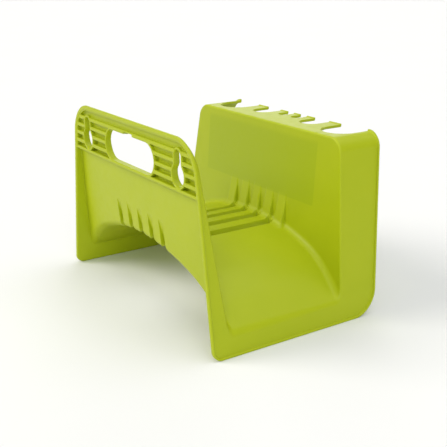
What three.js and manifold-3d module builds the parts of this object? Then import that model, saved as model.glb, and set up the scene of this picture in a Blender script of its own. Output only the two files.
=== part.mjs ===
// Wall-mounted garden hose hanger: an open saddle between a tall back plate and a box-like front plate.
// Units are millimetres. X runs across, Y out from the wall, Z up. Inside the functions y = 0 is the wall
// plane and z = 0 is the edge that the hanger stands on; the whole group is centred in depth at the end.
import * as THREE from 'three';
import { mergeVertices } from 'three/addons/utils/BufferGeometryUtils.js';
import Module from 'manifold-3d';

const wasm = await Module();
wasm.setup();

// Driving dimensions
const halfWidth = 135;            // outside of an end wall at the bottom edge
const sideDraft = 0.1455;         // how much each end wall leans inward, per mm of height
const wall = 2.5;                 // moulded wall thickness
const gap = 0.3;                  // clearance between neighbouring solids
const backHeight = 172.5;
const backCorner = 27;            // radius of the back plate's top corners
const backTopDepth = 5.4;         // front of the back plate at its top edge
const bandDraft = 0.03;
const panelDraft = 0.1;
const bandBottom = 128;           // the ribbed band reaches from here to the top edge
const seam = 2;                   // the back panel's solid stops this far below the band's own draft
const plateBottomDepth = 130.8;   // channel side of the front plate at z = 0
const plateDraft = 0.0785;
const frontBottomDepth = 169.5;   // front edge of the end walls at z = 0
const frontDraft = 0.115;
const frontHeight = 157;
const frontCorner = 12;           // radius of the front box's top corners
const footCornerRear = 8;
const footCornerFront = 23;
const troughFloor = 15;           // top of an end wall's bottom band
const plateFoot = 5;              // the plates start here, under the flanks' lowest skin

// Saddle: a flat crest arc, two shoulder arcs and two straight flanks
const crestHeight = 67.5;
const crestRadius = 260;
const shoulderRadius = 95;
const shoulderStart = THREE.MathUtils.degToRad(18.1);
const flankAngle = THREE.MathUtils.degToRad(42);

// Bars and slots in the middle of the saddle
const barPitch = 20;
const barWidth = 10.8;
const barCount = 5;
const slotRear = 20;
const slotFront = 130;
const supportTop = 93;
const supportBase = 60;           // below the saddle's top face, which trims the wedge
const supportDepth = 4;           // at the crest's height

// Ribbed band
const collarHalfLength = 46.3;
const collarRadius = 13.95;
const collarHeight = 144.3;
const keyholeX = 85.5;
const keyholeBulbHeight = 141;
const keyholeBulbRadius = 9.3;
const keyholeSlotRadius = 5.2;
const keyholeSlotHeight = 156.6;
const collarWall = 2;
const ribRear = 0.8;
const ribThickness = 3.4;
const innerRibHeights = [136, 144, 152];
const outerRibHeights = [136, 144, 152, 160];
const ladderWeb = 0.8;
const bandStart = 100;            // collars and ladders are trimmed upward from here
const ladderStart = 40;           // the inner rib fields begin beside the collar's round ends
const skin = 2;
const topRib = [158.3, 161.7];
const ledgeRib = [126.8, 130.4];

// Each pair of clip notches in the shelf's front edge: centre, radius and the depth of the radius's centre
const notches = [
  { x: 10, radius: 5.2, reach: 177 },
  { x: 37.5, radius: 10.8, reach: 173 },
  { x: 82, radius: 17.6, reach: 171 },
];
const lipHeight = 1.5;
const lipDepth = 2;

const beadWidth = 2;
const beadProud = 1.5;
const padHalfWidth = 86;
const padBottom = 94;
const padTop = 147;
const padThickness = 0.8;

const bossReach = keyholeSlotRadius + collarWall + gap;
const far = 400;                  // longer than any cutting body needs to be
const under = -10;                // outlines start this far below the standing edge
const arcSteps = 12;

const plastic = { color: 0xa5b726, roughness: 0.42, metalness: 0 };

// Planes of the object, as functions of height
const sideX = (z) => halfWidth - sideDraft * z;
const backFront = (z) => backTopDepth + bandDraft * (backHeight - Math.max(z, bandBottom))
  + panelDraft * Math.max(0, bandBottom - z);
const plateRear = (z) => plateBottomDepth + plateDraft * z;
const frontEdge = (z) => frontBottomDepth + frontDraft * z;

function toSolid(geometry) {
  geometry.deleteAttribute('normal');
  geometry.deleteAttribute('uv');
  const merged = mergeVertices(geometry, 1e-4);
  return new wasm.Manifold(new wasm.Mesh({
    numProp: 3,
    vertProperties: new Float32Array(merged.attributes.position.array),
    triVerts: new Uint32Array(merged.index.array),
  }));
}

function toGeometry(solid) {
  const mesh = solid.getMesh();
  const geometry = new THREE.BufferGeometry();
  geometry.setAttribute('position', new THREE.BufferAttribute(new Float32Array(mesh.vertProperties), 3));
  geometry.setIndex(new THREE.BufferAttribute(new Uint32Array(mesh.triVerts), 1));
  return geometry;
}

function shapeOf(points) {
  return new THREE.Shape(points.map(([a, b]) => new THREE.Vector2(a, b)));
}

// An outline in (x, z) pulled along Y
function alongY(shape, low = -far, high = far) {
  const geometry = new THREE.ExtrudeGeometry(shape, {
    depth: high - low, bevelEnabled: false, curveSegments: arcSteps,
  });
  geometry.rotateX(Math.PI / 2);
  geometry.translate(0, high, 0);
  return toSolid(geometry);
}

// An outline in (y, z) pulled along X
function alongX(shape, low = -far, high = far) {
  const geometry = new THREE.ExtrudeGeometry(shape, {
    depth: high - low, bevelEnabled: false, curveSegments: arcSteps,
  });
  geometry.applyMatrix4(new THREE.Matrix4().makeBasis(
    new THREE.Vector3(0, 1, 0), new THREE.Vector3(0, 0, 1), new THREE.Vector3(1, 0, 0)));
  geometry.translate(low, 0, 0);
  return toSolid(geometry);
}

// An outline in (x, y) pulled along Z
function alongZ(shape, low, high) {
  const geometry = new THREE.ExtrudeGeometry(shape, {
    depth: high - low, bevelEnabled: false, curveSegments: arcSteps,
  });
  geometry.translate(0, 0, low);
  return toSolid(geometry);
}

function box(x0, x1, y0, y1, z0, z1) {
  return alongZ(shapeOf([[x0, y0], [x1, y0], [x1, y1], [x0, y1]]), z0, z1);
}

// A plate between two depths that both follow the height
function layer(rear, front, low, high) {
  const levels = [low, ...(low < bandBottom && high > bandBottom ? [bandBottom] : []), high];
  const up = levels.map((z) => [rear(z), z]);
  const down = levels.map((z) => [front(z), z]).reverse();
  return alongX(shapeOf([...up, ...down]));
}

// The leaning side outline with rounded top corners, drawn inset by a margin
function taperedOutline(height, corner, margin) {
  const lean = Math.hypot(1, sideDraft);
  const radius = corner - margin;
  const top = height - margin;
  const centreZ = top - radius;
  const centreX = sideX(centreZ) - (margin + radius) * lean;
  const bottomX = sideX(under) - margin * lean;
  const tilt = Math.atan(sideDraft);
  const shape = new THREE.Shape();
  shape.moveTo(-bottomX, under);
  shape.lineTo(bottomX, under);
  shape.absarc(centreX, centreZ, radius, tilt, Math.PI / 2, false);
  shape.absarc(-centreX, centreZ, radius, Math.PI / 2, Math.PI - tilt, false);
  return shape;
}

// Everything below the saddle's top face, or below a copy of it lowered along its normal
function underSaddle(drop) {
  const crestR = crestRadius - drop;
  const shoulderR = shoulderRadius - drop;
  const crestCentre = crestHeight - crestRadius;
  const reach = crestRadius - shoulderRadius;
  const shoulderX = reach * Math.sin(shoulderStart);
  const shoulderZ = crestCentre + reach * Math.cos(shoulderStart);
  const endX = shoulderX + shoulderR * Math.sin(flankAngle);
  const endZ = shoulderZ + shoulderR * Math.cos(flankAngle);
  const flank = 60;
  const footX = endX + flank * Math.cos(flankAngle);
  const footZ = endZ - flank * Math.sin(flankAngle);
  const shape = new THREE.Shape();
  shape.moveTo(-footX, -far);
  shape.lineTo(footX, -far);
  shape.lineTo(footX, footZ);
  shape.absarc(shoulderX, shoulderZ, shoulderR, Math.PI / 2 - flankAngle, Math.PI / 2 - shoulderStart, false);
  shape.absarc(0, crestCentre, crestR, Math.PI / 2 - shoulderStart, Math.PI / 2 + shoulderStart, false);
  shape.absarc(-shoulderX, shoulderZ, shoulderR, Math.PI / 2 + shoulderStart, Math.PI / 2 + flankAngle, false);
  shape.lineTo(-footX, footZ);
  return alongY(shape);
}

function obround(grow) {
  const shape = new THREE.Shape();
  const centre = collarHalfLength - collarRadius;
  const radius = collarRadius + grow;
  shape.absarc(centre, collarHeight, radius, -Math.PI / 2, Math.PI / 2, false);
  shape.absarc(-centre, collarHeight, radius, Math.PI / 2, 1.5 * Math.PI, false);
  return alongY(shape);
}

function keyhole(side, grow) {
  const bulb = new THREE.Shape();
  bulb.absarc(side * keyholeX, keyholeBulbHeight, keyholeBulbRadius + grow, 0, 2 * Math.PI, false);
  const slot = new THREE.Shape();
  const half = keyholeSlotRadius + grow;
  slot.moveTo(side * keyholeX + half, keyholeBulbHeight);
  slot.absarc(side * keyholeX, keyholeSlotHeight, half, 0, Math.PI, false);
  slot.lineTo(side * keyholeX - half, keyholeBulbHeight);
  return alongY(bulb).add(alongY(slot));
}

function backPanel() {
  const rear = (z) => backFront(z) - wall;
  return layer(rear, backFront, plateFoot, bandBottom - seam)
    .intersect(alongY(taperedOutline(backHeight, backCorner, wall + gap)))
    .subtract(underSaddle(wall));
}

function bandSkin() {
  const rear = (z) => backFront(z) - skin;
  return layer(rear, backFront, bandBottom - seam + gap, backHeight)
    .intersect(alongY(taperedOutline(backHeight, backCorner, wall + gap)))
    .subtract(obround(collarWall + gap))
    .subtract(keyhole(-1, collarWall + gap))
    .subtract(keyhole(1, collarWall + gap));
}

function rearRim() {
  return layer(() => 0, backFront, bandBottom - seam, backHeight)
    .intersect(alongY(taperedOutline(backHeight, backCorner, 0)))
    .subtract(alongY(taperedOutline(backHeight, backCorner, wall)));
}

function handGripCollar() {
  return layer(() => ribRear, backFront, bandStart, backHeight)
    .intersect(obround(collarWall))
    .subtract(obround(0));
}

function keyholeBoss(side) {
  return layer(() => ribRear, backFront, bandStart, backHeight)
    .intersect(keyhole(side, collarWall))
    .subtract(keyhole(side, 0));
}

function bandRib([low, high], reach) {
  return layer(() => ribRear, (z) => backFront(z) - skin - gap, low, high)
    .intersect(box(-reach, reach, -far, far, 0, far))
    .intersect(alongY(taperedOutline(backHeight, backCorner, wall + gap)))
    .subtract(obround(collarWall + gap))
    .subtract(keyhole(-1, collarWall + gap))
    .subtract(keyhole(1, collarWall + gap));
}

// Short ribs in one field of the band, joined by a thin web against the skin
function ribLadder(side, inner, outer, heights, top) {
  const low = side > 0 ? inner : -outer;
  const high = side > 0 ? outer : -inner;
  const skinRear = (z) => backFront(z) - skin - gap;
  const field = box(low, high, -far, far, ledgeRib[1] + gap, top);
  let ladder = layer((z) => skinRear(z) - ladderWeb, skinRear, bandStart, backHeight).intersect(field);
  for (const height of heights) {
    const rib = layer(() => ribRear, skinRear, height - ribThickness / 2, height + ribThickness / 2);
    ladder = ladder.add(rib.intersect(field));
  }
  return ladder
    .intersect(alongY(taperedOutline(backHeight, backCorner, wall + gap)))
    .subtract(obround(collarWall + gap))
    .subtract(keyhole(side, collarWall + gap));
}

function saddle() {
  let shell = underSaddle(0)
    .subtract(underSaddle(wall))
    .intersect(layer((z) => backFront(z) + gap, (z) => plateRear(z) - gap, 0, bandBottom))
    .intersect(alongY(taperedOutline(frontHeight, frontCorner, 0)));
  for (let i = 1; i < barCount; i += 1) {
    const centre = (i - barCount / 2) * barPitch;
    const half = (barPitch - barWidth) / 2;
    shell = shell.subtract(box(centre - half, centre + half, slotRear, slotFront, 0, far));
  }
  return shell;
}

function frontPlate() {
  const front = (z) => plateRear(z) + wall;
  return layer(plateRear, front, plateFoot, frontHeight)
    .intersect(alongY(taperedOutline(frontHeight, frontCorner, wall + gap)))
    .subtract(underSaddle(wall));
}

// A wedge that carries one bar of the saddle up the channel side of a plate
function supportRib(index, face, outward) {
  const centre = (index - (barCount - 1) / 2) * barPitch;
  const foot = (z) => face(z) + outward * gap;
  const depthAt = supportDepth * (supportTop - supportBase) / (supportTop - crestHeight);
  const wedge = shapeOf([
    [foot(supportTop), supportTop],
    [foot(supportBase), supportBase],
    [foot(supportBase) + outward * depthAt, supportBase],
  ]);
  return alongX(wedge, centre - barWidth / 2, centre + barWidth / 2).subtract(underSaddle(-gap));
}

// The flat U-shaped end wall, as an outline in (y, z)
function endOutline(margin) {
  const bottom = margin;
  const rear = margin;
  const frontX = (z) => frontEdge(z) - margin;
  const front = footCornerFront - margin;
  const back = footCornerRear - margin;
  const tilt = Math.atan(frontDraft);
  const centreY = frontX(bottom + front) - front * Math.hypot(1, frontDraft);
  const shape = new THREE.Shape();
  shape.moveTo(frontX(frontHeight), frontHeight);
  shape.lineTo(rear, frontHeight);
  shape.absarc(rear + back, bottom + back, back, Math.PI, 1.5 * Math.PI, false);
  shape.absarc(centreY, bottom + front, front, -Math.PI / 2, -tilt, false);
  return shape;
}

function sideSlab(side, inner, outer) {
  const outline = shapeOf([
    [side * (sideX(under) + inner), under], [side * (sideX(under) + outer), under],
    [side * (sideX(far) + outer), far], [side * (sideX(far) + inner), far],
  ]);
  return alongY(outline);
}

function endWall(side) {
  const trough = layer(backFront, plateRear, troughFloor, far);
  const aboveRear = box(-far, far, under, plateBottomDepth / 2, bandBottom - seam - gap, far);
  const aboveFront = box(-far, far, plateBottomDepth / 2, far, frontHeight - frontCorner - gap, far);
  return sideSlab(side, -wall, 0)
    .intersect(alongX(endOutline(0)))
    .subtract(trough)
    .subtract(aboveRear)
    .subtract(aboveFront);
}

// The small lip that runs outside an end wall along its bottom and front edges
function edgeBead(side) {
  const rearCut = box(-far, far, under, footCornerRear, under, far);
  const topCut = box(-far, far, under, far, frontHeight - frontCorner - gap, far);
  return sideSlab(side, gap, gap + beadProud)
    .intersect(alongX(endOutline(0)))
    .subtract(alongX(endOutline(beadWidth)))
    .subtract(rearCut)
    .subtract(topCut);
}

function notchCutter(side, notch) {
  const shape = new THREE.Shape();
  const x = side * notch.x;
  shape.moveTo(x + notch.radius, far);
  shape.lineTo(x - notch.radius, far);
  shape.absarc(x, notch.reach, notch.radius, Math.PI, 2 * Math.PI, false);
  return alongZ(shape, frontHeight - 3 * wall, far);
}

// Shelf on top of the front box, with the notched front edge and its raised lip
function clipRail() {
  const reach = layer(plateRear, frontEdge, frontHeight - frontCorner, frontHeight + lipHeight);
  const lipZone = layer((z) => frontEdge(z) - lipDepth, frontEdge, frontHeight - wall, frontHeight + lipHeight);
  const flat = notches[2].x + notches[2].radius;
  const lip = box(-flat, flat, 0, far, frontHeight - wall, frontHeight + lipHeight);
  let rail = alongY(taperedOutline(frontHeight, frontCorner, 0))
    .subtract(alongY(taperedOutline(frontHeight, frontCorner, wall)))
    .intersect(reach)
    .add(lipZone.intersect(lip));
  for (const notch of notches) {
    rail = rail.subtract(notchCutter(-1, notch)).subtract(notchCutter(1, notch));
  }
  return rail;
}

// A shallow blank pad on the front of the front plate
function blankPad() {
  const rear = (z) => plateRear(z) + wall + gap;
  const front = (z) => rear(z) + padThickness;
  return layer(rear, front, padBottom, padTop)
    .intersect(box(-padHalfWidth, padHalfWidth, 0, far, 0, far));
}

const hanger = new THREE.Group();

function addPart(name, solid) {
  const mesh = new THREE.Mesh(toGeometry(solid), new THREE.MeshStandardMaterial(plastic));
  mesh.name = name;
  hanger.add(mesh);
}

addPart('back_panel', backPanel());
addPart('band_skin', bandSkin());
addPart('rear_rim', rearRim());
addPart('hand_grip_collar', handGripCollar());
addPart('band_top_rib', bandRib(topRib, keyholeX - bossReach));
addPart('band_ledge_rib', bandRib(ledgeRib, halfWidth));
for (const [side, name] of [[-1, 'left'], [1, 'right']]) {
  addPart(`keyhole_boss_${name}`, keyholeBoss(side));
  addPart(`rib_ladder_inner_${name}`,
    ribLadder(side, ladderStart, keyholeX - bossReach, innerRibHeights, topRib[0] - gap));
  addPart(`rib_ladder_outer_${name}`,
    ribLadder(side, keyholeX + bossReach, halfWidth, outerRibHeights, backHeight));
  addPart(`end_wall_${name}`, endWall(side));
  addPart(`edge_bead_${name}`, edgeBead(side));
}
addPart('saddle', saddle());
addPart('front_plate', frontPlate());
for (let i = 0; i < barCount; i += 1) {
  addPart(`rear_support_rib_${i + 1}`, supportRib(i, backFront, 1));
  addPart(`front_support_rib_${i + 1}`, supportRib(i, plateRear, -1));
}
addPart('clip_rail', clipRail());
addPart('blank_pad', blankPad());

// Centre the depth on the origin, which then lies under the middle of the bounding box
hanger.position.y = -frontEdge(frontHeight + lipHeight) / 2;

export default hanger;
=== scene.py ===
"""A wall hanger for a garden hose, moulded in one piece from lime plastic.

The moulding is one thin skin with fillets, ribs, collars and beads. Its surface is written as a
signed distance (negative inside the plastic), turned into one closed mesh, and that mesh is then cut
into named pieces. Lengths are millimetres unless a comment says metres, with y = 0 at the wall plane
and z = 0 at the edge that the hanger stands on.
"""
import math
from concurrent.futures import ThreadPoolExecutor

import bpy
import numpy as np
import openvdb
from mathutils import Matrix, Vector


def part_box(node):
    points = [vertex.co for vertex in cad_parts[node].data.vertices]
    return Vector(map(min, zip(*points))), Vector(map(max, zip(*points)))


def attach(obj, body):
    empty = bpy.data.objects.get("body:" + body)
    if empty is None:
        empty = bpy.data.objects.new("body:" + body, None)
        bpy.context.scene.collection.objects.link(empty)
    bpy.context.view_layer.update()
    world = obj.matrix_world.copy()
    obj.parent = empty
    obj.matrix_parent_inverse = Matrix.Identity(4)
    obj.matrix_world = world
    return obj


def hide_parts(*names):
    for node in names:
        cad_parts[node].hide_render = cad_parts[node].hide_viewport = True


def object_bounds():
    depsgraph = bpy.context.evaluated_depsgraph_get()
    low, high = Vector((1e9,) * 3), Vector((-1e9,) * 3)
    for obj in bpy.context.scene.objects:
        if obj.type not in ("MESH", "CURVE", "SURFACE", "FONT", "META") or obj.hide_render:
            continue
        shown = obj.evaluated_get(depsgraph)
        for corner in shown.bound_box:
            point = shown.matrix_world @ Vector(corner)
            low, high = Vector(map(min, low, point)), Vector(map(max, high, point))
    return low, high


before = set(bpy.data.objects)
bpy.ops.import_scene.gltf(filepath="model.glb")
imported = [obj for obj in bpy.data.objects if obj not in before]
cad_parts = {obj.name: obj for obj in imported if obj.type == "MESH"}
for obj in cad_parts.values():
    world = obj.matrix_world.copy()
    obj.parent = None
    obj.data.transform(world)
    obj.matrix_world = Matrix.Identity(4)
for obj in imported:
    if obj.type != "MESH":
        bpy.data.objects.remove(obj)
cad_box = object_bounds()
MM = 0.001
WALL_PLANE = cad_box[0][1]                 # metres, in the row frame


def node_box(name):
    """A CAD node's lowest and highest corners, in millimetres from the wall plane."""
    low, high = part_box(name)
    shift = np.array([0.0, WALL_PLANE, 0.0])
    return (np.array(low) - shift) / MM, (np.array(high) - shift) / MM


# Overall shape
SKIN = 2.5
HALF_WIDTH = 135.25                        # outside of an end wall at the bottom edge
SIDE_DRAFT = 0.1455                        # each end wall leans inward by this much per mm of height
LIP = 1.5                                  # how far the beads stand proud
BACK_HEIGHT = node_box("rear_rim")[1][2] - LIP
FRONT_HEIGHT = node_box("clip_rail")[1][2] - LIP
BACK_CORNER = 25.5
FRONT_CORNER = 12.0
BAND_BOTTOM = 128.0
BACK_TOP_DEPTH = 5.4                       # front of the back plate at its top edge
BAND_DRAFT = 0.03
PANEL_DRAFT = 0.1
BAND_BEND = 1.5                            # radius where the band turns into the panel below it
PLATE_DEPTH = 130.8                        # channel side of the front plate at z = 0
PLATE_DRAFT = 0.0785
FRONT_DEPTH = 169.5                        # front edge at z = 0
FRONT_DRAFT = 0.115
MIDDLE = 75.0                              # a depth inside the channel, between the two plates
FOOT_REAR, FOOT_FRONT = 8.0, 23.0          # corner radii of the end walls' lower corners
REAR_FILLET, FRONT_FILLET = 4.5, 5.5       # between the saddle and each plate
REAR_EDGE, FRONT_EDGE = 2.6, 1.8           # rounded edge between the channel and the end walls
TOP_EDGE = 5.6                             # the same edge round the top of the back plate
EDGE_CHANGE = (50.0, 110.0)                # the rear rounding becomes the front one between these depths
TOP_EDGE_CHANGE = (110.0, 150.0)           # and grows to the top one between these heights
FREE_EDGE = 1.0                            # rounding of the skin's free edges
HOLE_EDGE = 0.45                           # rounding of the edges of every hole
FAR = 1e3                                  # a distance that is outside everything

# Saddle: a wide crest arc, then a shoulder arc and a straight flank on each side
CREST = node_box("saddle")[1][2]
CREST_RADIUS = 260.0
SHOULDER_RADIUS = 95.0
SHOULDER_START = math.radians(18.1)
FLANK_ANGLE = math.radians(42.0)

# Bars and slots in the middle of the saddle, and the strips that carry the bars up the plates
BARS = 5
BAR_PITCH = 20.0
BAR_WIDTH = 12.4
SLOT_WIDTH = 9.2
SLOT_REAR, SLOT_FRONT = 12.6, 132.6
SLOT_LOW, SLOT_HIGH = 40.0, 80.0           # heights well below and above the saddle's crest
SLOT_CORNER = 1.5
SKIRT_REAR = 22.0                          # the slots' side walls run from here to their front ends
SKIRT = 5.5                                # and hang this deep
SKIRT_WALL = 1.7
SKIRT_EDGE = 0.5
SKIRT_ROOT = 1.0                           # they start this deep inside the skin
STRIP_TOP = 96.0
STRIP_EDGE = 0.9
STRIP_DRAFT = 0.03                         # a strip narrows by this much per mm that it stands proud
STRIP_SLOPE = 0.175                        # it comes forward by about this much per mm below its top
STRIP_FADE = 6.0                           # over about this height a strip grows out of its plate

# Hand hole, keyholes and the ribbed band
COLLAR = 2.0
HOLE_INSET = 0.6                           # the hand hole's collar ends this far inside the CAD one
collar_low, collar_high = node_box("hand_grip_collar")
HOLE_Z = (collar_low[2] + collar_high[2]) / 2
HOLE_RADIUS = (collar_high[2] - collar_low[2]) / 2 - COLLAR
HOLE_REACH = collar_high[0] - COLLAR - HOLE_RADIUS - HOLE_INSET
boss_low, boss_high = node_box("keyhole_boss_right")
KEY_X = (boss_low[0] + boss_high[0]) / 2
KEY_BULB = (boss_high[0] - boss_low[0]) / 2 - COLLAR
KEY_BULB_Z = boss_low[2] + COLLAR + KEY_BULB
KEY_SLOT = 5.2
KEY_TOP_Z = boss_high[2] - COLLAR - KEY_SLOT
KEY_NECK = 2.0                             # fillet between a keyhole's bulb and its slot
RIB_REAR = 0.6
RIB_HALF = 1.75
RIB_PITCH = 8.0
RIB_FIRST = 136.0
RIB_LAST = 160.0
LEDGE_LOW, LEDGE_HIGH = 127.4, 130.3
RIM = 3.4                                  # width of the flat border round the band
RIM_LINE = 1.4                             # a fine groove runs this far inside the outline
GROOVE, GROOVE_EDGE = 0.6, 0.2             # that groove's radius and the rounding of its edges
BAND_FILLET = 0.5                          # between ribs, rim and collars, and on their rear edges
BAND_LOW, BAND_FRONT = 120.0, 20.0         # ribs, rim and collars lie above and behind this
GRIP_LEFT, GRIP_RIGHT = -7.0, 6.0          # ends of a cut in the top edge of the hand hole
GRIP_TOP = 159.8
GRIP_CORNER = 0.6
RELIEF = 1.5                               # a small relief this long past each end of that cut
RELIEF_DEPTH = 3.4
RELIEF_BELOW, RELIEF_ABOVE = 1.3, 0.5      # its reach below and above the top of the cut

# Each pair of clip notches in the shelf's front edge: centre, radius, depth of the radius's centre
NOTCHES = ((10.0, 5.2, 176.5), (37.5, 10.8, 172.5), (82.0, 17.6, 170.5))
NOTCH_FLOOR = 149.5
LUG_REACH = 99.0                           # the lugs inside this half-width are a little shorter
LUG_SET_BACK = 1.2
LUG_BLEND = 2.0                            # half the width over which they become shorter
LUG_HEIGHTS = (120.0, 150.0)               # the front plate goes over into the lugs between these heights
LUG_LIP = 0.75                             # how far the bead stands proud above the lugs
BEAD_WIDTH = 2.0
BEAD_EDGE = 0.6
BEAD_ROOT = 1.0                            # the bead starts this deep inside the skin

# A blank pad on the front of the front plate
PAD_HALF_WIDTH, PAD_LOW, PAD_HIGH = 86.0, 94.0, 147.0
PAD_PROUD = 0.8
PAD_CORNER, PAD_EDGE = 3.0, 0.4
PAD_ROOT = 1.0                             # the pad starts this deep inside the skin

# Fillets where each part of the moulding meets the skin
BAND_JOIN, BEAD_JOIN, PAD_JOIN, SKIRT_JOIN = 0.4, 0.4, 0.3, 0.5

# Meshing
VOXEL = 0.65        # mm
BLOCK = 8                                  # voxels along each side of a block
BLOCK_REACH = 0.9                          # a little over half a block's diagonal, in block sides
CLIP_VOXELS = 3                            # distances are kept only this far from the surface
SETTLE = 0.4                               # longest step that moves a vertex onto the surface, in voxels
SETTLE_ROUNDS = 2
CHUNK = 150_000                            # points worked out at a time by one thread
THREADS = 4
# The surface is looked for between these corners
SPACE_LOW = np.array([-140.0, -4.0, -4.0])
SPACE_HIGH = np.array([140.0, 192.0, 178.0])
SHARP = 0.55                               # a face keeps its own normal below this cosine

# Seams between the named pieces
SIDE_SEAM = 3.4                            # end frames are cut this far inside the end walls' faces
FILLET_SEAM = 8.5                          # past the fillets between the saddle and each plate
BAND_SEAM = 126.6                          # height of the seam under the band
SHELF_SEAM = 153.8                         # height of the seam under the clip shelf
CLEAR = 75.0                               # a height in the channel, above the saddle
BEAD_SEAM = 0.12                           # the lips are cut this far outside the end walls' faces
PAD_SEAM = 2.0                             # the pad's cutter is this much larger than the pad
STRIP_FOOT = 50.0                          # strips are cut out of the plates down to this height
BEHIND, FRONT_END, UNDER, OVER = -5.0, 210.0, -10.0, 190.0      # all past the moulding's own limits
BESIDE = 400.0                             # cutters that run past an end reach this far
SIDES = ((-1, "left"), (1, "right"))

# Looks, in linear colours
LIME = (0.400, 0.468, 0.0045, 1)
LIME_DEEP = (0.388, 0.460, 0.0038, 1)
# Painted shade: a darker lime for the patch on the channel side of the front plate
LIME_PAINTED_SHADE = (0.352, 0.432, 0.0035, 1)
FLOOR_PALE = (0.82, 0.83, 0.84, 1)
FLOOR_DEEP = (0.80, 0.81, 0.82, 1)
NOISE_LOW, NOISE_HIGH = 0.3, 0.7           # most of a noise texture's values lie between these
GLOSS_LOW, GLOSS_HIGH = 0.41, 0.47         # roughness

# A patch of painted shade on the channel side of the front plate: a slightly darker zone that stands in for
# less light coming through the plastic there
PATCH_LEFT, PATCH_RIGHT, PATCH_LOW, PATCH_HIGH = -92.0, 84.0, 92.0, 149.0
PATCH_EDGE = 0.5                           # half the width over which each edge fades
PATCH_TOP_EDGE = 3.0
PATCH_DEPTH, PATCH_DEPTH_EDGE = 134.75, 0.25            # nothing nearer to the wall belongs to it

# Studio
FLOOR_REACH = 30.0                         # metres
AMBIENT = 0.27                             # strength of the surroundings as light on the object
# Soft lamps: name, where the light comes from, strength, spread in degrees, colour
SUNS = (
    ("key", (-0.50, -0.75, 0.62), 1.95, 35, (1.0, 0.95, 0.88)),
    ("fill", (0.80, -0.40, 0.45), 1.15, 50, (0.95, 1.0, 0.98)),
    ("top", (0.10, 0.20, 1.0), 1.4, 60, (1.0, 0.98, 0.95)),
    ("back", (-0.80, 0.52, 0.36), 0.38, 30, (1.0, 1.0, 1.0)),
)
AZIMUTH, ELEVATION, ROLL = 57.231, 18.131, -0.649       # of the camera, in degrees
TARGET = (0.020, -0.00886, 0.0685)         # the point that it looks at, and how far away, in metres
DISTANCE = 0.7434
LENS, SENSOR = 64.43, 36                   # mm


def round_join(a, b, r):
    """Both shapes as one, with a fillet of radius r where they meet."""
    inner = np.maximum(r, np.minimum(a, b))
    return inner - np.hypot(np.maximum(r - a, 0), np.maximum(r - b, 0))


def round_keep(a, b, r):
    """What both shapes share, with its edge rounded to radius r."""
    inner = np.minimum(-r, np.maximum(a, b))
    return inner + np.hypot(np.maximum(r + a, 0), np.maximum(r + b, 0))


def round_cut(shape, hole, r):
    return round_keep(shape, -hole, r)


def slab(value, low, high):
    """Distance outside the stretch from low to high."""
    return np.abs(value - (low + high) / 2) - (high - low) / 2


def smooth_step(value, low, high):
    t = np.clip((value - low) / (high - low), 0, 1)
    return t * t * (3 - 2 * t)


def side_plane(x, z):
    return (np.abs(x) - HALF_WIDTH + SIDE_DRAFT * z) / math.hypot(1, SIDE_DRAFT)


def panel_plane(y, z):
    depth = BACK_TOP_DEPTH + BAND_DRAFT * (BACK_HEIGHT - BAND_BOTTOM) + PANEL_DRAFT * (BAND_BOTTOM - z)
    return (y - depth) / math.hypot(1, PANEL_DRAFT)


def back_face(y, z):
    """Positive on the channel side of the back plate."""
    band = (y - BACK_TOP_DEPTH - BAND_DRAFT * (BACK_HEIGHT - z)) / math.hypot(1, BAND_DRAFT)
    return round_join(band, panel_plane(y, z), BAND_BEND)


def plate_face(y, z):
    """Positive on the channel side of the front plate."""
    return (PLATE_DEPTH + PLATE_DRAFT * z - y) / math.hypot(1, PLATE_DRAFT)


def front_plane(y, z):
    return (y - FRONT_DEPTH - FRONT_DRAFT * z) / math.hypot(1, FRONT_DRAFT)


def saddle_top(x, z):
    """Distance above the saddle: a crest arc, a shoulder arc and a straight flank on each side."""
    across = np.abs(x)
    crest_z = CREST - CREST_RADIUS
    reach = CREST_RADIUS - SHOULDER_RADIUS
    dx = across - reach * math.sin(SHOULDER_START)
    dz = z - crest_z - reach * math.cos(SHOULDER_START)
    crest = np.hypot(across, z - crest_z) - CREST_RADIUS
    shoulder = np.hypot(dx, dz) - SHOULDER_RADIUS
    flank = dx * math.sin(FLANK_ANGLE) + dz * math.cos(FLANK_ANGLE) - SHOULDER_RADIUS
    bent = np.where(dx > dz * math.tan(FLANK_ANGLE), flank, shoulder)
    return np.where(across < math.tan(SHOULDER_START) * (z - crest_z), crest, bent)


def outline(x, y, z):
    """The leaning sides and rounded top corners of the back plate and of the front box."""
    side = side_plane(x, z)
    back = round_keep(side, z - BACK_HEIGHT, BACK_CORNER)
    front = round_keep(side, z - FRONT_HEIGHT, FRONT_CORNER)
    return np.where(y < MIDDLE, back, front)


def strips(x, y, z):
    """Raised strips that carry the saddle's five bars up both plates."""
    nearest = np.clip(np.round(x / BAR_PITCH), -(BARS // 2), BARS // 2) * BAR_PITCH
    down = np.maximum(STRIP_TOP - z, 0)
    depth = STRIP_SLOPE * down * down / (down + STRIP_FADE)
    plate = np.where(y < MIDDLE, panel_plane(y, z), plate_face(y, z))
    across = np.abs(x - nearest) - BAR_WIDTH / 2 + STRIP_DRAFT * depth
    return round_keep(plate - depth, across, STRIP_EDGE)


def core(x, y, z):
    """A solid block under the channel: its faces are the channel side of the plates and the saddle."""
    raised = np.where(z < STRIP_TOP, strips(x, y, z), FAR)
    rear = np.where(y < MIDDLE, np.minimum(back_face(y, z), raised), back_face(y, z))
    front = np.where(y < MIDDLE, plate_face(y, z), np.minimum(plate_face(y, z), raised))
    block = round_join(rear, saddle_top(x, z), REAR_FILLET)
    block = round_join(block, front, FRONT_FILLET)
    top = (TOP_EDGE - REAR_EDGE) * smooth_step(z, *TOP_EDGE_CHANGE) * (y < MIDDLE)
    edge = REAR_EDGE + (FRONT_EDGE - REAR_EDGE) * smooth_step(y, *EDGE_CHANGE) + top
    return round_keep(block, outline(x, y, z), edge)


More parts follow.
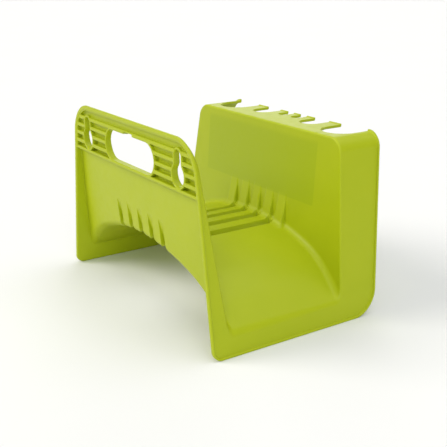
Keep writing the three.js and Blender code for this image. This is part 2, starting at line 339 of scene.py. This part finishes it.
def hand_hole(x, z):
    return np.hypot(np.maximum(np.abs(x) - HOLE_REACH, 0), z - HOLE_Z) - HOLE_RADIUS


def grip_notch(x, y, z):
    """The cut in the hand hole's top edge, with a blind relief beside each end."""
    cut = round_keep(slab(x, GRIP_LEFT, GRIP_RIGHT), slab(z, HOLE_Z, GRIP_TOP), GRIP_CORNER)
    relief = np.maximum(slab(x, GRIP_LEFT - RELIEF, GRIP_RIGHT + RELIEF), y - RELIEF_DEPTH)
    return np.minimum(cut, np.maximum(relief, slab(z, GRIP_TOP - RELIEF_BELOW, GRIP_TOP + RELIEF_ABOVE)))


def keyhole(x, z):
    across = np.abs(x) - KEY_X
    bulb = np.hypot(across, z - KEY_BULB_Z) - KEY_BULB
    slot = np.hypot(across, z - np.clip(z, KEY_BULB_Z, KEY_TOP_Z)) - KEY_SLOT
    return round_join(bulb, slot, KEY_NECK)


def band_ribs(z):
    """Long ribs behind the band, flush with its rim, and the ledge along its lower edge."""
    row = np.clip(np.round((z - RIB_FIRST) / RIB_PITCH), 0, (RIB_LAST - RIB_FIRST) / RIB_PITCH)
    rib = np.abs(z - RIB_FIRST - row * RIB_PITCH) - RIB_HALF
    return np.minimum(rib, slab(z, LEDGE_LOW, LEDGE_HIGH))


def band(x, y, z, hull):
    """Rim, ribs and collars of the band, from the wall side up to the skin."""
    edge = outline(x, y, z)
    walls = np.minimum(hand_hole(x, z), keyhole(x, z)) - COLLAR
    grid = round_join(np.minimum(band_ribs(z), walls), -edge - RIM, BAND_FILLET)
    grid = np.maximum(grid, edge)
    grid = round_keep(grid, RIB_REAR - y, BAND_FILLET)
    grid = round_keep(grid, GROOVE - np.hypot(edge + RIM_LINE, y - RIB_REAR), GROOVE_EDGE)
    return np.maximum(np.maximum(grid, hull), LEDGE_LOW - z)


def slot_outline(x, y, low, high):
    """The four slots seen from above, reaching from one depth to another."""
    across = np.abs(x)
    centre = np.where(across < BAR_PITCH, BAR_PITCH / 2, BAR_PITCH * 3 / 2)
    return round_keep(np.abs(across - centre) - SLOT_WIDTH / 2, slab(y, low, high), SLOT_CORNER)


def saddle_slots(x, y, z):
    return np.maximum(slot_outline(x, y, SLOT_REAR, SLOT_FRONT), slab(z, SLOT_LOW, SLOT_HIGH))


def slot_skirts(x, y, z, hull):
    """Thin walls round the slots, hanging under the saddle from inside the skin."""
    around = slot_outline(x, y, SKIRT_REAR, SLOT_FRONT) - SKIRT_WALL
    return np.maximum(round_keep(around, -saddle_top(x, z) - SKIRT, SKIRT_EDGE), hull + SKIRT_ROOT)


def clip_notches(x, y, z):
    across = np.abs(x)
    cut = np.full(np.broadcast(x, y, z).shape, FAR, np.float32)
    for centre, radius, reach in NOTCHES:
        cut = np.minimum(cut, np.hypot(across - centre, np.minimum(y - reach, 0)) - radius)
    return np.maximum(cut, NOTCH_FLOOR - z)


def end_trim(x, y, z):
    """The end walls' outline seen from the side, which also trims every open edge."""
    foot = round_keep(-y, -z, FOOT_REAR)
    lugs = smooth_step(LUG_REACH - np.abs(x), -LUG_BLEND, LUG_BLEND) * smooth_step(z, *LUG_HEIGHTS)
    return round_keep(foot, front_plane(y, z) + LUG_SET_BACK * lugs, FOOT_FRONT)


def bead(x, y, z):
    """The small outward lip along every free edge of the end walls, the rim and the shelf."""
    trim = end_trim(x, y, z)
    along = slab(trim, -BEAD_WIDTH, 0)
    lug = (y > MIDDLE) & (np.abs(x) < LUG_REACH)
    out = slab(outline(x, y, z), -BEAD_ROOT, np.where(lug, LUG_LIP, LIP))
    return round_keep(along, out, BEAD_EDGE)


def blank_pad(x, z, hull):
    face = round_keep(np.abs(x) - PAD_HALF_WIDTH, slab(z, PAD_LOW, PAD_HIGH), PAD_CORNER)
    return round_keep(face, slab(hull, -SKIN - PAD_PROUD, -PAD_ROOT), PAD_EDGE)


def moulding(x, y, z):
    """Signed distance to the whole moulding."""
    hull = core(x, y, z)
    skin = np.maximum(hull, -hull - SKIN)
    skin = round_keep(skin, end_trim(x, y, z), FREE_EDGE)
    near_wall = (y < BAND_FRONT) & (z > BAND_LOW)
    skin = np.where(near_wall, round_join(skin, band(x, y, z, hull), BAND_JOIN), skin)
    skin = round_join(skin, bead(x, y, z), BEAD_JOIN)
    skin = np.where(y > MIDDLE, round_join(skin, blank_pad(x, z, hull), PAD_JOIN), skin)
    skin = round_join(skin, slot_skirts(x, y, z, hull), SKIRT_JOIN)
    band_holes = np.minimum(np.minimum(hand_hole(x, z), keyhole(x, z)), grip_notch(x, y, z))
    holes = np.where(y < MIDDLE, band_holes, clip_notches(x, y, z))
    holes = np.minimum(holes, saddle_slots(x, y, z))
    return round_cut(skin, holes, HOLE_EDGE)


# ---- from a signed distance to a mesh ----

def sample(field, points):
    """The field at many points, in parallel."""
    def run(part):
        return field(part[:, 0], part[:, 1], part[:, 2]).astype(np.float32)
    parts = [points[i:i + CHUNK] for i in range(0, len(points), CHUNK)]
    with ThreadPoolExecutor(THREADS) as pool:
        return np.concatenate(list(pool.map(run, parts)))


def gradient(field, points, step=0.04):
    slopes = []
    for axis in range(3):
        shift = np.zeros(3)
        shift[axis] = step
        slopes.append(sample(field, points + shift) - sample(field, points - shift))
    slopes = np.stack(slopes, 1).astype(float)
    return slopes / np.maximum(np.linalg.norm(slopes, axis=1, keepdims=True), 1e-9)


def surface(field, low, high, adaptivity=0.006):
    """Vertices (mm) and faces of the field's zero surface, found only in blocks that it passes through."""
    counts = np.ceil((high - low) / (BLOCK * VOXEL)).astype(int)
    index = np.stack(np.meshgrid(*[np.arange(n) for n in counts], indexing="ij"), -1).reshape(-1, 3)
    middle = low + (index + 0.5) * BLOCK * VOXEL
    value = sample(field, middle)
    near = np.abs(value) < BLOCK_REACH * BLOCK * VOXEL + 2 * VOXEL
    limit = CLIP_VOXELS * VOXEL
    dense = np.empty(counts * BLOCK, np.float32)
    blocks = dense.reshape(counts[0], BLOCK, counts[1], BLOCK, counts[2], BLOCK).transpose(0, 2, 4, 1, 3, 5)
    blocks[...] = np.where(value > 0, limit, -limit).reshape(*counts, 1, 1, 1)
    cell = np.stack(np.meshgrid(*[np.arange(BLOCK)] * 3, indexing="ij"), -1).reshape(1, -1, 3)
    points = low + (index[near][:, None, :] * BLOCK + cell) * VOXEL
    inside = sample(field, points.reshape(-1, 3)).reshape(-1, BLOCK, BLOCK, BLOCK)
    i, j, k = index[near].T
    blocks[i, j, k] = np.clip(inside, -limit, limit)
    grid = openvdb.FloatGrid(limit)
    grid.copyFromArray(dense)
    vertices, triangles, quads = grid.convertToPolygons(isovalue=0.0, adaptivity=adaptivity)
    vertices = low + vertices.astype(float) * VOXEL
    for _ in range(SETTLE_ROUNDS):
        step = sample(field, vertices)[:, None] * gradient(field, vertices)
        vertices -= np.clip(step, -SETTLE * VOXEL, SETTLE * VOXEL)
    # Nothing passes the wall plane or the plane that the hanger stands on
    vertices[:, 1:] = np.maximum(vertices[:, 1:], 0)
    return vertices, triangles.tolist() + quads.tolist()


def new_mesh(name, vertices, faces):
    """A mesh in metres, in the row frame, from millimetres."""
    mesh = bpy.data.meshes.new(name)
    mesh.from_pydata(np.asarray(vertices) * MM + (0, WALL_PLANE, 0), [], faces)
    mesh.validate()
    return mesh


def vertices_mm(mesh):
    """A mesh's vertices in the distance functions' millimetres."""
    flat = np.empty(len(mesh.vertices) * 3, np.float32)
    mesh.vertices.foreach_get("co", flat)
    return (flat.reshape(-1, 3).astype(float) - (0, WALL_PLANE, 0)) / MM


# ---- named pieces, cut from the one moulding ----

def cutter_between(first, second):
    """A closed block between two loops of points; each loop runs with the block's inside on its left."""
    count = len(first)
    walls = [(i, (i + 1) % count, (i + 1) % count + count, i + count) for i in range(count)]
    faces = walls + [tuple(range(count))[::-1], tuple(range(count, 2 * count))]
    cutter = bpy.data.objects.new("cutter", new_mesh("cutter", list(first) + list(second), faces))
    bpy.context.scene.collection.objects.link(cutter)
    return cutter


def along_x(outline_yz, low_x, high_x):
    """An outline in (y, z) pulled along X between two leaning ends, given as functions of z."""
    return [(low_x(z), y, z) for y, z in outline_yz], [(high_x(z), y, z) for y, z in outline_yz]


def along_y(outline_xz, rear=BEHIND, front=MIDDLE):
    """An outline in (x, z) pulled along Y."""
    return [(x, front, z) for x, z in outline_xz], [(x, rear, z) for x, z in outline_xz]


def boolean(target, cutter, operation):
    modifier = target.modifiers.new("cut", "BOOLEAN")
    modifier.operation = operation
    modifier.solver = "MANIFOLD"
    modifier.object = cutter
    evaluated = target.evaluated_get(bpy.context.evaluated_depsgraph_get())
    mesh = bpy.data.meshes.new_from_object(evaluated)
    target.modifiers.clear()
    return mesh


def carve(source, name, loops, keep_rest=True):
    """Cut a named piece out of the source, which keeps the rest."""
    cutter = cutter_between(*loops)
    piece = bpy.data.objects.new(name, boolean(source, cutter, "INTERSECT"))
    bpy.context.scene.collection.objects.link(piece)
    if keep_rest:
        source.data = boolean(source, cutter, "DIFFERENCE")
    bpy.data.objects.remove(cutter)
    return piece


def far_left(z):
    return -BESIDE


def far_right(z):
    return BESIDE


def leaning_side(sign, inset):
    """An end wall's outer face moved inward, as a function of z."""
    return lambda z: sign * (HALF_WIDTH - SIDE_DRAFT * z - inset * math.hypot(1, SIDE_DRAFT))


def panel_seam(z):
    """Depth of the seam between the back panel's fillet and the saddle."""
    top = BACK_TOP_DEPTH + BAND_DRAFT * (BACK_HEIGHT - BAND_BOTTOM)
    return top + PANEL_DRAFT * (BAND_BOTTOM - z) + FILLET_SEAM


def plate_seam(z):
    return PLATE_DEPTH + PLATE_DRAFT * z - FILLET_SEAM


def plate_front(z):
    return PLATE_DEPTH + PLATE_DRAFT * z + SKIN * math.hypot(1, PLATE_DRAFT)


def arc(centre_x, centre_z, radius, start, stop, count=16):
    angles = [math.radians(start + (stop - start) * i / count) for i in range(count + 1)]
    return [(centre_x + radius * math.cos(t), centre_z + radius * math.sin(t)) for t in angles]


def collar_outline():
    radius = HOLE_RADIUS + COLLAR
    return arc(HOLE_REACH, HOLE_Z, radius, -90, 90) + arc(-HOLE_REACH, HOLE_Z, radius, 90, 270)


def keyhole_outline(side):
    bulb, slot = KEY_BULB + COLLAR, KEY_SLOT + COLLAR
    turn = math.degrees(math.acos(slot / bulb))
    top = arc(side * KEY_X, KEY_TOP_Z, slot, 0, 180)
    return top + arc(side * KEY_X, KEY_BULB_Z, bulb, 180 - turn, 360 + turn)


def outer_field(side):
    """The corner of the band outside a keyhole, inside the rim."""
    inner = KEY_X + KEY_SLOT + COLLAR
    radius = BACK_CORNER - RIM
    centre_z = BACK_HEIGHT - BACK_CORNER
    centre_x = leaning_side(1, BACK_CORNER)(centre_z)
    tilt = math.degrees(math.atan(SIDE_DRAFT))
    stop = math.degrees(math.acos((inner - centre_x) / radius))
    corner = arc(centre_x, centre_z, radius, tilt, stop)
    points = [(inner, LEDGE_HIGH), (leaning_side(1, RIM)(LEDGE_HIGH), LEDGE_HIGH)] + corner
    return points if side > 0 else [(-x, z) for x, z in reversed(points)]


def rectangle(low_a, high_a, low_b, high_b):
    return [(low_a, low_b), (high_a, low_b), (high_a, high_b), (low_a, high_b)]


def shell_pieces(whole):
    """The seven main walls of the moulding."""
    inner_left, inner_right = leaning_side(-1, SIDE_SEAM), leaning_side(1, SIDE_SEAM)
    panel = ((BEHIND, UNDER), (panel_seam(UNDER), UNDER), (panel_seam(BAND_SEAM), BAND_SEAM),
             (BEHIND, BAND_SEAM))
    floor = ((panel_seam(UNDER), UNDER), (plate_seam(UNDER), UNDER), (plate_seam(CLEAR), CLEAR),
             (panel_seam(CLEAR), CLEAR))
    plate = ((plate_seam(UNDER), UNDER), (FRONT_END, UNDER), (FRONT_END, SHELF_SEAM),
             (plate_seam(SHELF_SEAM), SHELF_SEAM))
    end = ((BEHIND, UNDER), (FRONT_END, UNDER), (FRONT_END, SHELF_SEAM), (MIDDLE, SHELF_SEAM),
           (MIDDLE, BAND_SEAM), (BEHIND, BAND_SEAM))
    band_zone = rectangle(BEHIND, MIDDLE, BAND_SEAM, OVER)
    shelf_zone = rectangle(MIDDLE, FRONT_END, SHELF_SEAM, OVER)
    walls = {
        "back_panel_moulded": along_x(panel, inner_left, inner_right),
        "mounting_band": along_x(band_zone, far_left, far_right),
        "saddle_shell": along_x(floor, inner_left, inner_right),
        "front_plate_moulded": along_x(plate, inner_left, inner_right),
        "clip_shelf": along_x(shelf_zone, far_left, far_right),
        "end_frame_left": along_x(end, far_left, inner_left),
        "end_frame_right": along_x(end, inner_right, far_right),
    }
    return {name: carve(whole, name, loops, keep_rest=False) for name, loops in walls.items()}


def band_pieces(band):
    """Collars, ledge, top bar and the four ribbed fields of the mounting band."""
    half = KEY_X - KEY_SLOT - COLLAR
    pieces = [carve(band, "hand_hole_collar", along_y(collar_outline()))]
    for side, word in SIDES:
        pieces.append(carve(band, f"keyhole_collar_{word}", along_y(keyhole_outline(side))))
    reach = leaning_side(1, RIM)(BAND_SEAM)
    ledge = rectangle(-reach, reach, BAND_LOW, LEDGE_HIGH)
    pieces.append(carve(band, "band_ledge", along_y(ledge)))
    bar = rectangle(-half, half, RIB_LAST - RIB_HALF, RIB_LAST + RIB_HALF)
    pieces.append(carve(band, "band_top_bar", along_y(bar)))
    for side, word in SIDES:
        span = (HOLE_REACH, half) if side > 0 else (-half, -HOLE_REACH)
        field = rectangle(*span, LEDGE_HIGH, RIB_LAST - RIB_HALF)
        pieces.append(carve(band, f"ribbed_field_inner_{word}", along_y(field)))
        pieces.append(carve(band, f"ribbed_field_outer_{word}", along_y(outer_field(side))))
    return {piece.name: piece for piece in pieces}


def strip_pieces(panel, plate):
    """The five strips on each plate that carry the saddle's bars upward."""
    pieces = {}
    sources = ((panel, "rear", BEHIND, MIDDLE), (plate, "front", MIDDLE, FRONT_END))
    for number in range(BARS):
        centre = (number - BARS // 2) * BAR_PITCH
        column = rectangle(centre - BAR_WIDTH / 2, centre + BAR_WIDTH / 2, STRIP_FOOT, STRIP_TOP)
        for source, word, rear, front in sources:
            name = f"{word}_bar_strip_{number + 1}"
            pieces[name] = carve(source, name, along_y(column, rear, front))
    return pieces


def small_pieces(shell):
    """The blank pad and the two edge lips."""
    reach, low, high = PAD_HALF_WIDTH + PAD_SEAM, PAD_LOW - PAD_SEAM, PAD_HIGH + PAD_SEAM
    pad = ((plate_front(low), low), (FRONT_END, low), (FRONT_END, high), (plate_front(high), high))
    everything = rectangle(BEHIND, FRONT_END, UNDER, OVER)
    cuts = (
        ("front_plate_moulded", "blank_pad_face", along_x(pad, lambda z: -reach, lambda z: reach)),
        ("end_frame_left", "edge_lip_left", along_x(everything, far_left, leaning_side(-1, -BEAD_SEAM))),
        ("end_frame_right", "edge_lip_right", along_x(everything, leaning_side(1, -BEAD_SEAM), far_right)),
    )
    return {name: carve(shell[source], name, loops) for source, name, loops in cuts}


# The CAD nodes that each piece stands for
REPLACES = {
    "back_panel_moulded": ["back_panel"],
    "mounting_band": ["band_skin", "rear_rim"],
    "saddle_shell": ["saddle"],
    "front_plate_moulded": ["front_plate"],
    "clip_shelf": ["clip_rail"],
    "hand_hole_collar": ["hand_grip_collar"],
    "band_ledge": ["band_ledge_rib"],
    "band_top_bar": ["band_top_rib"],
    "blank_pad_face": ["blank_pad"],
}
for _, word in SIDES:
    REPLACES[f"end_frame_{word}"] = [f"end_wall_{word}"]
    REPLACES[f"edge_lip_{word}"] = [f"edge_bead_{word}"]
    REPLACES[f"keyhole_collar_{word}"] = [f"keyhole_boss_{word}"]
    REPLACES[f"ribbed_field_inner_{word}"] = [f"rib_ladder_inner_{word}"]
    REPLACES[f"ribbed_field_outer_{word}"] = [f"rib_ladder_outer_{word}"]
for number in range(1, BARS + 1):
    REPLACES[f"rear_bar_strip_{number}"] = [f"rear_support_rib_{number}"]
    REPLACES[f"front_bar_strip_{number}"] = [f"front_support_rib_{number}"]


def shade(mesh, field):
    """Normals from the surface itself, so that cut pieces join without a visible seam.

    Where those point well away from a face's own normal, as on a cut, the face keeps its own.
    """
    smooth = gradient(field, vertices_mm(mesh))
    normals = np.empty(len(mesh.polygons) * 3, np.float32)
    mesh.polygons.foreach_get("normal", normals)
    loop_vertex = np.empty(len(mesh.loops), np.int32)
    mesh.loops.foreach_get("vertex_index", loop_vertex)
    totals = np.empty(len(mesh.polygons), np.int32)
    mesh.polygons.foreach_get("loop_total", totals)
    own = normals.reshape(-1, 3)[np.repeat(np.arange(len(totals)), totals)]
    chosen = smooth[loop_vertex]
    away = (chosen * own).sum(1) < SHARP
    chosen[away] = own[away]
    mesh.polygons.foreach_set("use_smooth", np.ones(len(totals), bool))
    mesh.normals_split_custom_set(chosen)
    mesh.update()


# ---- materials, light and camera ----

def add_node(tree, kind, **values):
    """A new node; keyword values fill its inputs, with spaces for underscores."""
    node = tree.nodes.new(kind)
    for key, value in values.items():
        node.inputs[key.replace("_", " ")].default_value = value
    return node


def grain(tree, place, size, detail):
    """Noise with spots of about this size, in metres."""
    noise = add_node(tree, "ShaderNodeTexNoise", Scale=1 / size, Detail=detail, Roughness=0.55)
    tree.links.new(place, noise.inputs["Vector"])
    return noise.outputs["Fac"]


def remap(tree, value, low, high, to_low, to_high):
    node = add_node(tree, "ShaderNodeMapRange", From_Min=low, From_Max=high, To_Min=to_low, To_Max=to_high)
    node.interpolation_type = "SMOOTHSTEP"
    tree.links.new(value, node.inputs["Value"])
    return node.outputs["Result"]


def multiply(tree, a, b):
    node = tree.nodes.new("ShaderNodeMath")
    node.operation = "MULTIPLY"
    tree.links.new(a, node.inputs[0])
    tree.links.new(b, node.inputs[1])
    return node.outputs["Value"]


def beyond(tree, value, limit, fade):
    """One where a value in metres is past a limit in millimetres, zero before it, fading between."""
    return remap(tree, value, (limit - fade) * MM, (limit + fade) * MM, 0, 1)


def short_of(tree, value, limit, fade):
    return remap(tree, value, (limit - fade) * MM, (limit + fade) * MM, 1, 0)


def painted_shade_mask(tree, place):
    """One over the patch of painted shade on the channel side of the front plate, zero elsewhere."""
    axes = tree.nodes.new("ShaderNodeSeparateXYZ")
    tree.links.new(place, axes.inputs[0])
    x, y, z = axes.outputs
    mask = beyond(tree, x, PATCH_LEFT, PATCH_EDGE)
    mask = multiply(tree, mask, short_of(tree, x, PATCH_RIGHT, PATCH_EDGE))
    mask = multiply(tree, mask, beyond(tree, z, PATCH_LOW, PATCH_EDGE))
    mask = multiply(tree, mask, short_of(tree, z, PATCH_HIGH, PATCH_TOP_EDGE))
    return multiply(tree, mask, beyond(tree, y, WALL_PLANE / MM + PATCH_DEPTH, PATCH_DEPTH_EDGE))


def mix_colour(tree, factor, first, second):
    node = tree.nodes.new("ShaderNodeMix")
    node.data_type = "RGBA"
    tree.links.new(factor, node.inputs["Factor"])
    for value, socket in ((first, node.inputs["A"]), (second, node.inputs["B"])):
        if isinstance(value, tuple):
            socket.default_value = value
        else:
            tree.links.new(value, socket)
    return node.outputs["Result"]


def lime_plastic():
    """Satin moulded polypropylene: faint mottling, a fine spark-eroded grain, uneven gloss and a patch of
    painted shade on the front plate's channel side.
    """
    material = bpy.data.materials.new("lime_plastic")
    material.use_nodes = True
    tree = material.node_tree
    shader = tree.nodes["Principled BSDF"]
    place = tree.nodes.new("ShaderNodeTexCoord").outputs["Object"]
    mottle = remap(tree, grain(tree, place, size=0.03, detail=3.0), NOISE_LOW, NOISE_HIGH, 0, 1)
    colour = mix_colour(tree, mottle, LIME, LIME_DEEP)
    # Painted shade: the patch on the front plate's channel side is darkened
    colour = mix_colour(tree, painted_shade_mask(tree, place), colour, LIME_PAINTED_SHADE)
    tree.links.new(colour, shader.inputs["Base Color"])
    cloud = grain(tree, place, size=0.006, detail=4.0)
    gloss = remap(tree, cloud, NOISE_LOW, NOISE_HIGH, GLOSS_LOW, GLOSS_HIGH)
    tree.links.new(gloss, shader.inputs["Roughness"])
    bump = add_node(tree, "ShaderNodeBump", Strength=0.22, Distance=0.00005)
    tree.links.new(grain(tree, place, size=0.0006, detail=2.0), bump.inputs["Height"])
    tree.links.new(bump.outputs["Normal"], shader.inputs["Normal"])
    shader.inputs["IOR"].default_value = 1.49
    shader.inputs["Specular IOR Level"].default_value = 0.3
    return material


def floor_paint():
    material = bpy.data.materials.new("studio_floor")
    material.use_nodes = True
    tree = material.node_tree
    shader = tree.nodes["Principled BSDF"]
    place = tree.nodes.new("ShaderNodeTexCoord").outputs["Object"]
    colour = mix_colour(tree, grain(tree, place, size=0.2, detail=3.0), FLOOR_DEEP, FLOOR_PALE)
    tree.links.new(colour, shader.inputs["Base Color"])
    shader.inputs["Roughness"].default_value = 0.9
    shader.inputs["Specular IOR Level"].default_value = 0.1
    return material


def add_floor():
    mesh = bpy.data.meshes.new("studio_floor")
    corners = rectangle(-FLOOR_REACH, FLOOR_REACH, -FLOOR_REACH, FLOOR_REACH)
    mesh.from_pydata([(x, y, cad_box[0][2]) for x, y in corners], [], [(0, 1, 2, 3)])
    mesh.materials.append(floor_paint())
    floor = bpy.data.objects.new("studio_floor", mesh)
    bpy.context.scene.collection.objects.link(floor)


def add_sun(name, source, strength, spread, colour):
    """A soft lamp that shines from the source's direction."""
    light = bpy.data.lights.new(name, "SUN")
    light.color = colour
    light.energy = strength
    light.angle = math.radians(spread)
    lamp = bpy.data.objects.new(name, light)
    lamp.rotation_euler = Vector(source).to_track_quat("Z", "Y").to_euler()
    bpy.context.scene.collection.objects.link(lamp)


def add_world():
    """White surroundings: dim as light on the object, bright where the backdrop is seen directly."""
    world = bpy.data.worlds.new("studio")
    world.use_nodes = True
    tree = world.node_tree
    background = tree.nodes["Background"]
    background.inputs["Color"].default_value = (1, 1, 1, 1)
    seen = tree.nodes.new("ShaderNodeLightPath").outputs["Is Camera Ray"]
    tree.links.new(remap(tree, seen, 0, 1, AMBIENT, 1.0), background.inputs["Strength"])
    bpy.context.scene.world = world


def aim_camera():
    azimuth, elevation, roll = (math.radians(angle) for angle in (AZIMUTH, ELEVATION, ROLL))
    back = Vector((math.sin(azimuth) * math.cos(elevation), -math.cos(azimuth) * math.cos(elevation),
                   math.sin(elevation)))
    right = Vector((0, 0, 1)).cross(back).normalized()
    up = back.cross(right)
    turned = right * math.cos(roll) + up * math.sin(roll)
    up = up * math.cos(roll) - right * math.sin(roll)
    camera = bpy.data.objects.new("camera", bpy.data.cameras.new("camera"))
    camera.matrix_world = Matrix((turned, up, back)).transposed().to_4x4()
    camera.location = Vector(TARGET) + back * DISTANCE
    camera.data.lens = LENS
    camera.data.sensor_width = SENSOR
    bpy.context.scene.collection.objects.link(camera)
    bpy.context.scene.camera = camera


def finish_piece(piece, material, nodes):
    shade(piece.data, moulding)
    piece.data.materials.clear()
    piece.data.materials.append(material)
    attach(piece, "root")
    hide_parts(*nodes)


def build_hanger():
    whole = bpy.data.objects.new("whole", new_mesh("whole", *surface(moulding, SPACE_LOW, SPACE_HIGH)))
    bpy.context.scene.collection.objects.link(whole)
    pieces = shell_pieces(whole)
    bpy.data.objects.remove(whole)
    pieces.update(band_pieces(pieces["mounting_band"]))
    pieces.update(strip_pieces(pieces["back_panel_moulded"], pieces["front_plate_moulded"]))
    pieces.update(small_pieces(pieces))
    plastic = lime_plastic()
    for name, nodes in REPLACES.items():
        finish_piece(pieces[name], plastic, nodes)


aim_camera()
add_floor()
add_world()
for sun in SUNS:
    add_sun(*sun)
build_hanger()
bpy.context.scene.view_settings.view_transform = "Standard"
